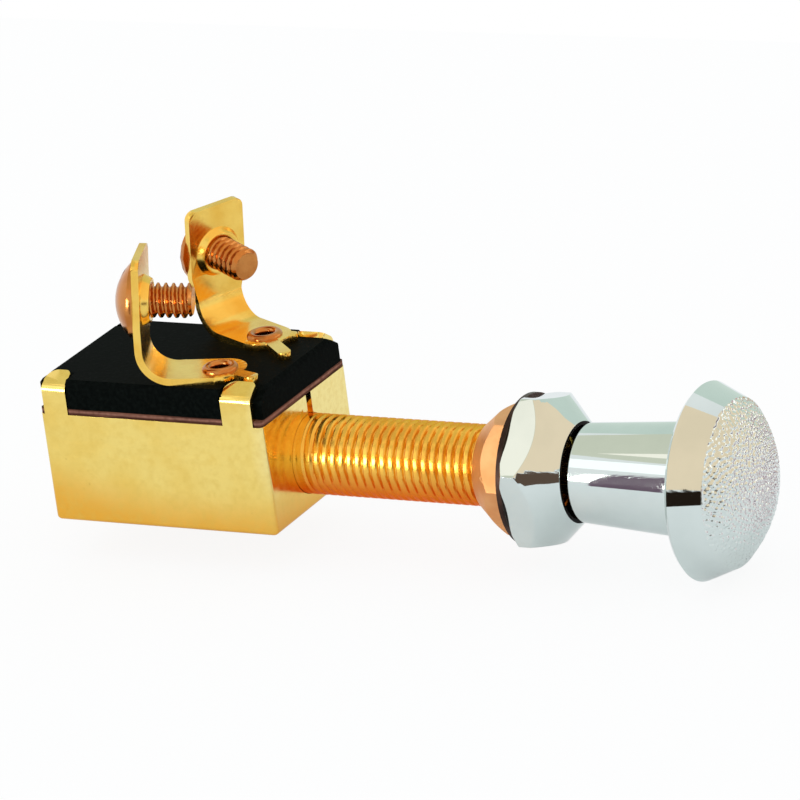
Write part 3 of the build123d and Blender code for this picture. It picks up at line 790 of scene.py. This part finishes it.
@dataclass
class TerminalScrew:
    """A terminal's screw: a threaded shank through the leg and a slotted round head behind it."""

    side: Side
    rivet_x: float = -42.85
    rivet_y: float = 6.4
    board_top: float = 13.35
    base_length: float = 6.1
    bend_radius: float = 4.8
    rise: float = 6.2
    shank_dia: float = 4.8
    shank_length: float = 7.7
    tip_bevel: float = 0.5
    tip_flat: float = 0.9
    pitch: float = 1.058
    depth: float = 0.55
    crest_flat: float = 0.16
    root_flat: float = 0.14
    head_dia: float = 10.4
    head_height: float = 2.9
    head_edge: float = 0.7
    slot_width: float = 1.3
    slot_depth: float = 1.4
    columns: int = 72
    rows_per_pitch: int = 12
    slot_wall: float = 1e-4
    side_rows: int = 24
    slot_rows: int = 5
    head_columns: int = 41

    def placed(self, shell: Shell) -> Shell:
        """Moves a surface made about X at 0 to the screw's seat on the leg's rear face.

        The base runs from the rivet back to the bend. The leg rises from the bend at its own heading,
        leaning forwards, and the screw stands square to it at its rise above the bend.

        Args:
            shell: the surface, along X, with its seat at 0.

        Returns:
            The surface in place.
        """
        base, leg, lean = self.side.base_heading, self.side.leg_heading, self.side.lean
        up = np.array([0.0, 0.0, 1.0])
        forward = np.array([np.cos(leg), np.sin(leg), 0.0])
        across = np.array([-np.sin(leg), np.cos(leg), 0.0])
        along = np.cos(lean) * forward - np.sin(lean) * up
        rising = np.sin(lean) * forward + np.cos(lean) * up
        bend = np.array([self.rivet_x, self.side.sign * self.rivet_y, self.board_top])
        bend -= self.base_length * np.array([np.cos(base), np.sin(base), 0.0])
        seat = bend + self.bend_radius * (up - along) + self.rise * rising
        return Shell(seat + shell.points @ np.stack([along, across, rising]), shell.quads)

    def shank(self) -> Shell:
        """The threaded shank, closed at both ends.

        The radius is the crest's less the thread's depth, under the tip's bevel. The tip's flat has a
        ring just inside its edge, so that its shading stays flat.

        Returns:
            The shank, about X, from inside the head to the tip.
        """
        angle = np.linspace(0.0, FULL_TURN, self.columns, endpoint=False)
        start = -self.head_edge / 2
        rows = int((self.shank_length - start) / self.pitch * self.rows_per_pitch)
        x = np.linspace(start, self.shank_length, rows)
        cut = thread_depth(x, angle, self.pitch, self.crest_flat, self.root_flat)
        radius = self.shank_dia / 2 - self.depth * cut
        radius = np.minimum(radius, (self.shank_dia / 2 - self.tip_bevel + self.shank_length - x)[:, None])
        axis = np.zeros((1, self.columns))
        all_x = np.concatenate([[start], x, [self.shank_length, self.shank_length]])
        all_radius = np.vstack([axis, radius, self.tip_flat * radius[-1:], axis])
        return Shell.from_grid(lathe(all_x, all_radius, angle))

    def head(self) -> Shell:
        """The slotted head, a closed loop carried across the head.

        At each place u across the slot, the loop goes along v over the dome and back along the flat
        underside, with v within the circle u^2 + v^2 = R^2. The dome is a sphere's cap of the head's
        radius and its height above the edge, sunk by the slot's depth from the crown where |u| is under
        half the slot's width.

        Returns:
            The head, about X, its underside at 0.
        """
        radius = self.head_dia / 2
        half_slot = self.slot_width / 2
        side = radius - (radius - half_slot) * np.cos(np.linspace(0.0, np.pi / 2, self.side_rows))
        inner = np.linspace(-half_slot + self.slot_wall, half_slot - self.slot_wall, self.slot_rows)
        u = np.concatenate([-side[::-1], inner, side])[:, None]
        sweep = np.sin(np.linspace(-np.pi / 2, np.pi / 2, self.head_columns))[None, :]
        v = np.sqrt(np.maximum(radius**2 - u**2, 0.0)) * sweep
        cap = self.head_height - self.head_edge
        sphere = (radius**2 + cap**2) / (2 * cap)
        dome = self.head_edge + np.sqrt(sphere**2 - np.minimum(u**2 + v**2, radius**2)) - sphere + cap
        in_slot = np.abs(u) < half_slot
        top = np.where(in_slot, np.minimum(dome, self.head_height - self.slot_depth), dome)
        over = np.stack([-top, np.broadcast_to(u, v.shape), v], axis=-1)
        under = np.stack([np.zeros_like(v), np.broadcast_to(u, v.shape), v], axis=-1)[:, ::-1]
        return Shell.from_grid(np.concatenate([over, under], axis=1))

    def build(self) -> bpy.types.Object:
        """The screw as one piece of two closed surfaces.

        Returns:
            The finished piece.
        """
        node = f"{self.side.word}_terminal_screw"
        piece = self.placed(self.head()).piece(f"{self.side.word}_slotted_screw", self.placed(self.shank()))
        return finished(piece, Finish.COPPER, Body.SWITCH, node)


@dataclass
class PebbledKnob:
    """The knob: a hollow tapered shank, a flared head and a domed face with cast pebbles."""

    back_x: float = 8.04
    shank_dia: float = 13.5
    shank_front_dia: float = 15.7
    shank_length: float = 16.0
    skirt_edge: float = 0.3
    rim_dia: float = 26.6
    rim_x: float = 25.7
    rim_edge: float = 0.5
    face_dia: float = 22.8
    face_x: float = 29.9
    dome_height: float = 4.5
    skirt_bore_dia: float = 10.0
    skirt_depth: float = 10.0
    socket_dia: float = 4.88
    socket_depth: float = 9.0
    pebbles: int = 1100
    pebble_depth: float = 0.30
    pebble_width: float = 0.62
    pebble_heights: Span = (0.6, 1.0)
    width_per_jitter: float = 6.0
    plain_rim: float = 0.4
    columns: int = 540
    dome_rows: int = 110
    band_rows: int = 9
    skirt_rows: int = 6
    seed: int = 7

    def pebble_relief(self, y: np.ndarray, z: np.ndarray) -> np.ndarray:
        """Relief of the cast face: each place stands as high as the nearest pebble's round top.

        Pebbles lie on a golden-angle spiral with a seeded jitter. A pebble's top is a cosine hump,
        half (1 + cos(pi d / w)) at a distance d from its middle, of its own height.

        Args:
            y: places across the face.
            z: places up the face.

        Returns:
            Relief from 0 to 1 at each place.
        """
        rng = np.random.default_rng(self.seed)
        count = np.arange(self.pebbles)
        reach = (self.face_dia / 2) * np.sqrt((count + 0.5) / self.pebbles)
        turn = count * GOLDEN_ANGLE
        centres = np.stack([reach * np.cos(turn), reach * np.sin(turn)], axis=-1)
        centres += rng.normal(0.0, self.pebble_width / self.width_per_jitter, centres.shape)
        height = rng.uniform(*self.pebble_heights, self.pebbles)
        relief = np.zeros(y.shape)
        for centre, top in zip(centres, height):
            near = np.minimum(np.hypot(y - centre[0], z - centre[1]) / self.pebble_width, 1.0)
            relief = np.maximum(relief, top * 0.5 * (1.0 + np.cos(np.pi * near)))
        return relief

    def face(self, angle: np.ndarray) -> tuple[np.ndarray, np.ndarray]:
        """The domed face from its edge to its middle.

        The dome is a sphere's cap, its radius R from (r^2 + h^2) / 2h. The pebbles are sunk into it, so
        that their tops touch the dome, and fade out at the plain rim.

        Args:
            angle: angles round the axis.

        Returns:
            Places along X and radii, each (rows, columns).
        """
        edge = self.face_dia / 2
        sphere = (edge**2 + self.dome_height**2) / (2 * self.dome_height)
        radius = np.linspace(edge, 0.0, self.dome_rows)[:, None] * np.ones_like(angle)
        dome = self.face_x + self.dome_height - sphere + np.sqrt(sphere**2 - radius**2)
        relief = self.pebble_relief(radius * np.cos(angle), radius * np.sin(angle))
        fade = np.clip((edge - radius) / self.plain_rim, 0.0, 1.0)
        return dome - self.pebble_depth * fade * (1.0 - relief), radius

    def build(self) -> bpy.types.Object:
        """The knob as one lathed grid from the socket's end round the outside to the middle of the face.

        The band from the rim to the face is a cone, its rows at the shares half (1 - cos(pi t)) of its
        length, close at both ends, so that its shading stays its own.

        Returns:
            The finished piece.
        """
        angle = np.linspace(0.0, FULL_TURN, self.columns, endpoint=False)
        seat = self.back_x + self.skirt_depth
        bend = np.linspace(0.0, np.pi / 2, self.skirt_rows)
        skirt_x = self.back_x + self.skirt_edge * (1.0 - np.cos(bend))
        skirt_radius = self.shank_dia / 2 - self.skirt_edge * (1.0 - np.sin(bend))
        inner_x = np.array([seat + self.socket_depth, seat + self.socket_depth, seat, seat, self.back_x])
        socket, bore = self.socket_dia / 2, self.skirt_bore_dia / 2
        inner_radius = np.array([0.0, socket, socket, bore, bore])
        outer_x = np.array([self.back_x + self.shank_length, self.rim_x - self.rim_edge])
        outer_radius = np.array([self.shank_front_dia, self.rim_dia - 2 * self.rim_edge]) / 2
        share = 0.5 * (1.0 - np.cos(np.linspace(0.0, np.pi, self.band_rows)))[:-1]
        band_x = self.rim_x + share * (self.face_x - self.rim_x)
        band_radius = (self.rim_dia + share * (self.face_dia - self.rim_dia)) / 2
        plain_x = np.concatenate([inner_x, skirt_x, outer_x, band_x])[:, None] * np.ones_like(angle)
        plain_radius = np.concatenate([inner_radius, skirt_radius, outer_radius, band_radius])[:, None]
        face_x, face_radius = self.face(angle)
        all_x = np.vstack([plain_x, face_x])
        all_radius = np.vstack([plain_radius * np.ones_like(angle), face_radius])
        grid = lathe(all_x, all_radius, angle)
        piece = Shell.from_grid(grid).piece("pebbled_knob")
        return finished(piece, Finish.CHROME, Body.PLUNGER, "knob")


@dataclass
class ContactSpring:
    """The coil spring in the carriage's pocket, under the bridging contact."""

    centre_x: float = -52.35
    foot_z: float = 3.3
    top_z: float = 6.98
    coil_dia: float = 5.2
    wire_dia: float = 0.6
    turns: float = 3.5
    give: float = 0.6
    columns: int = 16
    rows_per_turn: int = 48

    def build(self) -> bpy.types.Object:
        """The spring as a round wire carried along a helix, closed at both ends.

        The wire's middle is at (x + R cos t, R sin t, z + rise t). Its ring at each place lies in the plane
        of the outward direction and the direction square to it and to the helix.

        Returns:
            The finished piece.
        """
        reach = (self.coil_dia - self.wire_dia) / 2
        low = self.foot_z + self.wire_dia / 2
        rise = (self.top_z - self.foot_z - self.wire_dia) / (FULL_TURN * self.turns)
        turn = np.linspace(0.0, FULL_TURN * self.turns, int(self.turns * self.rows_per_turn))[:, None]
        level = np.zeros_like(turn)
        outward = np.concatenate([np.cos(turn), np.sin(turn), level], axis=1)
        across = np.concatenate([-reach * np.sin(turn), reach * np.cos(turn)], axis=1)
        along = np.concatenate([across, np.full_like(turn, rise)], axis=1)
        upward = np.cross(outward, along / np.hypot(reach, rise))
        axis = np.concatenate([np.full_like(turn, self.centre_x), level, low + rise * turn], axis=1)
        middle = reach * outward + axis
        angle = np.linspace(0.0, FULL_TURN, self.columns, endpoint=False)[:, None]
        ring = np.cos(angle) * outward[:, None] + np.sin(angle) * upward[:, None]
        wire = middle[:, None] + self.wire_dia / 2 * ring
        ends = np.broadcast_to(middle[[0, -1], None], (2, self.columns, 3))
        grid = np.concatenate([ends[:1], wire, ends[1:]])
        piece = Shell.from_grid(grid).piece("coil_spring")
        finished(piece, Finish.STEEL, Body.PLUNGER, "contact_spring")
        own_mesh(piece)
        return piece


@dataclass
class SolidPieces:
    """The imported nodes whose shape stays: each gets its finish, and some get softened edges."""

    edge_width: float = 0.12
    edge_segments: int = 2
    edge_angle: float = 40.0
    weld_distance: float = 1e-6
    soft_edged: tuple[str, ...] = (
        "case", "fibre_sheet", "terminal_board", "near_terminal", "far_terminal", "back_nut", "face_nut",
    )

    def soften(self, node: bpy.types.Object) -> None:
        """Rounds a node's edges by modifiers, with its shape as it was.

        Args:
            node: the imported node.
        """
        weld = node.modifiers.new("join_corners", "WELD")
        weld.merge_threshold = self.weld_distance
        edge = node.modifiers.new("soft_edges", "BEVEL")
        edge.width = self.edge_width * MM
        edge.segments = self.edge_segments
        edge.limit_method = "ANGLE"
        edge.angle_limit = np.radians(self.edge_angle)
        flat = node.modifiers.new("flat_faces", "WEIGHTED_NORMAL")
        flat.keep_sharp = False

    def finishes(self) -> dict[str, Finish]:
        """The finish of each node that keeps its shape."""
        return {
            "case": Finish.CASE, "fibre_sheet": Finish.FIBRE, "terminal_board": Finish.BOARD,
            "near_terminal": Finish.TERMINAL, "far_terminal": Finish.TERMINAL,
            "near_rivet": Finish.COPPER, "far_rivet": Finish.COPPER,
            "lock_washer": Finish.WASHER, "back_nut": Finish.BACK_NUT, "face_nut": Finish.NUT_CHROME,
            "plunger_rod": Finish.ROD, "rod_clip": Finish.STEEL, "carriage": Finish.CARRIAGE,
            "bridge_contact": Finish.COPPER,
        }

    def dress(self) -> None:
        """Lays each node's finish over it."""
        for name, finish in self.finishes().items():
            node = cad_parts[name]
            for slot in node.material_slots:
                slot.material = finish.material()
            if name in self.soft_edged:
                self.soften(node)
            log.info("node %s: %s", name, finish.name)


@dataclass(frozen=True)
class MirrorCard:
    """A card round the object that only the metal's reflections see.

    It is a patch of a sphere about the origin: azimuth in degrees from -Y towards +X, and elevation from
    a lower to an upper line, each given by knots of azimuth and elevation.
    """

    name: str
    colour: Colour
    strength: float
    lower: Knots
    upper: Knots
    radius: float = 700.0
    columns: int = 48
    rows: int = 16

    def surface(self) -> Shell:
        """The patch: (R sin a cos e, -R cos a cos e, R sin e) for azimuth a and elevation e.

        Returns:
            The card's surface.
        """
        knots, low = np.array(self.lower).T
        azimuth = np.linspace(knots[0], knots[-1], self.columns)
        low = np.interp(azimuth, knots, low)
        high = np.interp(azimuth, *np.array(self.upper).T)
        e = np.radians(np.linspace(low, high, self.rows))
        a = np.broadcast_to(np.radians(azimuth), e.shape)
        grid = self.radius * np.stack([np.sin(a) * np.cos(e), -np.cos(a) * np.cos(e), np.sin(e)], axis=-1)
        return Shell.from_grid(grid, wrap_columns=False)


@dataclass(frozen=True)
class DarkFlag:
    """A ragged dark screen that stands on the floor near the object, seen only in the metal.

    It is a cylinder's sector about Z: (R sin a, -R cos a, z), with z from the floor to a top edge given
    by knots of azimuth and height, broken by seeded teeth.
    """

    name: str
    colour: Colour
    top: Knots
    strength: float = 1.0
    radius: float = 125.0
    teeth: float = 5.0
    columns: int = 90
    seed: int = 3

    def surface(self) -> Shell:
        """The sector's wall, with each column's top moved by its own tooth.

        Returns:
            The flag's surface.
        """
        knots, height = np.array(self.top).T
        azimuth = np.linspace(knots[0], knots[-1], self.columns)
        tooth = np.random.default_rng(self.seed).uniform(-1.0, 1.0, self.columns)
        top = np.interp(azimuth, knots, height)
        top = top + self.teeth * tooth * np.minimum(top / height.max(), 1.0)
        foot = np.full(self.columns, CAD_BOX[0].z / MM)
        a = np.broadcast_to(np.radians(azimuth), (2, self.columns))
        grid = np.stack([self.radius * np.sin(a), -self.radius * np.cos(a), np.stack([foot, top])], axis=-1)
        return Shell.from_grid(grid, wrap_columns=False)


@dataclass(frozen=True)
class SoftBox:
    """A soft box that faces the origin.

    Its azimuth is in degrees from -Y towards +X, its elevation in degrees above the floor, its distance and
    sides in metres and its power in watts.
    """

    name: str
    azimuth: float
    elevation: float
    distance: float
    width: float
    height: float
    power: float

    def back(self) -> Vector:
        """The direction from the origin to the lamp: (sin a cos e, -cos a cos e, sin e)."""
        a, e = np.radians(self.azimuth), np.radians(self.elevation)
        return Vector((np.sin(a) * np.cos(e), -np.cos(a) * np.cos(e), np.sin(e)))

    def build(self) -> None:
        """Hangs the lamp."""
        data = bpy.data.lights.new(self.name, "AREA")
        data.shape = "RECTANGLE"
        data.size = self.width
        data.size_y = self.height
        data.energy = self.power
        made = bpy.data.objects.new(self.name, data)
        turn = self.back().to_track_quat("Z", "Y").to_matrix().to_4x4()
        made.matrix_world = Matrix.Translation(self.back() * self.distance) @ turn
        bpy.context.scene.collection.objects.link(made)


@dataclass
class Studio:
    """A pale floor, a soft box, cards that the metal mirrors, and the camera at the picture's angle."""

    camera_mm: Triple = (338.18, -625.56, 273.43)
    camera_right: Triple = (0.8831, 0.4534, -0.1209)
    camera_up: Triple = (-0.0579, 0.3609, 0.9309)
    camera_back: Triple = (0.4657, -0.8150, 0.3449)
    lens: float = 255.85
    sensor: float = 36.0
    nearest: float = 0.05
    farthest: float = 20.0
    key: SoftBox = SoftBox(
        "key", azimuth=-55.0, elevation=33.0, distance=0.6, width=0.40, height=0.15, power=0.08,
    )
    floor_half: float = 220.0
    floor_colour: Colour = (0.86, 0.90, 0.92)
    floor_white: float = 0.9
    floor_white_mirrored: float = 0.3
    mat_corners: tuple[Span, Span] = ((44.0, -4.0), (110.0, 80.0))
    mat_lift: float = 0.2
    mat_mm: float = 9.0
    mat_strength: float = 1.6
    mat_stops: tuple[tuple[float, Colour], ...] = (
        (0.38, (0.16, 0.08, 0.13)), (0.44, (0.62, 0.36, 0.40)), (0.50, (0.60, 0.62, 0.60)), (0.60, WHITE),
    )
    cards: tuple[MirrorCard | DarkFlag, ...] = (
        MirrorCard("tan_canopy", (1.0, 0.80, 0.58), 1.06,
                   ((8.0, 50.0), (13.0, 10.0), (62.0, 8.0), (150.0, 8.0)),
                   ((8.0, 88.0), (150.0, 88.0))),
        MirrorCard("grey_canopy", (0.78, 0.78, 0.64), 1.0,
                   ((-140.0, 46.0), (-60.0, 46.0), (-45.0, 42.0), (8.0, 50.0)),
                   ((-140.0, 88.0), (8.0, 88.0))),
        MirrorCard("cool_wall", (0.72, 0.82, 0.75), 1.0,
                   ((150.0, -8.0), (226.0, -8.0)), ((150.0, 46.0), (226.0, 46.0))),
        MirrorCard("pale_patch", (1.0, 0.93, 0.82), 1.25,
                   ((-64.0, 50.0), (-46.0, 50.0)), ((-64.0, 64.0), (-46.0, 64.0)), radius=650.0),
        MirrorCard("bright_strip", (1.0, 0.98, 0.94), 15.0,
                   ((-38.0, 1.0), (-20.0, 1.0)), ((-38.0, 16.0), (-20.0, 16.0)), radius=600.0),
        MirrorCard("glint_card", (1.0, 0.98, 0.96), 1.7,
                   ((104.0, 10.0), (146.0, 10.0)), ((104.0, 19.0), (146.0, 19.0)), radius=600.0),
        DarkFlag("purple_flag", (0.18, 0.12, 0.165), ((-31.5, 45.0), (-22.8, 46.0)),
                 teeth=10.0, columns=60),
        DarkFlag("plum_flag", (0.20, 0.10, 0.17), ((112.0, 16.0), (136.0, 22.0)), radius=160.0, teeth=8.0),
        DarkFlag("rose_flag", (0.85, 0.50, 0.55), ((137.0, 20.0), (150.0, 24.0)), radius=160.0, teeth=8.0),
        DarkFlag("ochre_flag", (0.62, 0.36, 0.14), ((151.0, 20.0), (162.0, 20.0)), radius=160.0, teeth=8.0),
        DarkFlag("brown_flag", (0.020, 0.013, 0.009), ((24.0, 20.0), (38.0, 19.0), (50.0, 16.0))),
        DarkFlag("umber_flag", (0.13, 0.085, 0.062), ((51.0, 16.0), (68.0, 16.0), (72.0, 4.0))),
    )

    def camera(self) -> None:
        """The camera, turned to the picture's own right, up and back directions."""
        data = bpy.data.cameras.new("camera")
        data.lens = self.lens
        data.sensor_width = self.sensor
        data.clip_start = self.nearest
        data.clip_end = self.farthest
        made = bpy.data.objects.new("camera", data)
        turn = Matrix((self.camera_right, self.camera_up, self.camera_back)).transposed()
        made.matrix_world = Matrix.Translation(Vector(self.camera_mm) * MM) @ turn.to_4x4()
        bpy.context.scene.collection.objects.link(made)
        bpy.context.scene.camera = made

    def floor(self) -> None:
        """A pale sheet under the knob, white to the camera where no shadow lies."""
        level = CAD_BOX[0].z / MM
        across = np.array([-self.floor_half, self.floor_half])
        grid = np.stack([*np.meshgrid(across, across, indexing="ij"), np.full((2, 2), level)], axis=-1)
        made = Shell.from_grid(grid, wrap_columns=False).piece("floor_sheet")
        material, bench = blank_material("floor_paper")
        path = bench.add("LightPath").outputs
        mirrored = bench.math("MAXIMUM", path["Is Glossy Ray"], path["Is Transmission Ray"])
        mirrored = bench.math("MULTIPLY", mirrored, self.floor_white_mirrored)
        seen = bench.math("MULTIPLY", path["Is Camera Ray"], self.floor_white)
        part = bench.math("MAXIMUM", seen, mirrored)
        paper = bench.add("BsdfDiffuse", {"Color": (*self.floor_colour, 1.0)}).outputs[0]
        mixed = bench.add("MixShader", {0: part, 1: paper, 2: bench.glow(WHITE, 1.0)}).outputs[0]
        bench.add("OutputMaterial", {"Surface": mixed})
        made.data.materials.append(material)

    def glint_mat(self) -> None:
        """A mottled mat on the floor ahead of the knob, seen only in the pebbles of its face."""
        level = CAD_BOX[0].z / MM + self.mat_lift
        corners = np.meshgrid(*zip(*self.mat_corners), indexing="ij")
        grid = np.stack([*corners, np.full((2, 2), level)], axis=-1)
        made = Shell.from_grid(grid, wrap_columns=False).piece("glint_mat")
        material, bench = blank_material("glint_mat")
        colour = bench.ramp(bench.noise(self.mat_mm, MAT_NOISE), list(self.mat_stops))
        bench.add("OutputMaterial", {"Surface": bench.glow(colour, self.mat_strength)})
        made.data.materials.append(material)
        self.hide(made)

    def world(self) -> None:
        """A plain white world, the same to the camera, in the metal and as light."""
        world = bpy.data.worlds.new("studio")
        world.use_nodes = True
        bench = NodeBench(world.node_tree)
        back = bench.add("Background", {"Color": (*WHITE, 1.0), "Strength": 1.0})
        bench.add("OutputWorld", {"Surface": back.outputs[0]})
        bpy.context.scene.world = world

    def stand(self, card: MirrorCard | DarkFlag) -> None:
        """Stands one card where only reflections see it.

        Args:
            card: the card.
        """
        made = card.surface().piece(card.name)
        material, bench = blank_material(card.name)
        bench.add("OutputMaterial", {"Surface": bench.glow(card.colour, card.strength)})
        made.data.materials.append(material)
        self.hide(made)

    def hide(self, card: bpy.types.Object) -> None:
        """Leaves a stage piece to be seen in reflections alone."""
        card.visible_camera = card.visible_diffuse = card.visible_shadow = False
        card.visible_transmission = card.visible_volume_scatter = False

    def build(self) -> None:
        """Sets the whole studio up."""
        self.camera()
        self.floor()
        self.glint_mat()
        self.world()
        for card in self.cards:
            self.stand(card)
        self.key.build()
        bpy.context.scene.view_settings.view_transform = "Standard"


def main() -> None:
    """Builds each sub-assembly in order, then the studio."""
    logging.basicConfig(level=logging.INFO, format="%(name)s: %(message)s")
    SolidPieces().dress()
    ThreadedNeck().build()
    for side in Side:
        TerminalScrew(side).build()
    PebbledKnob().build()
    ContactSpring().build()
    Studio().build()


if __name__ == "__main__":
    main()
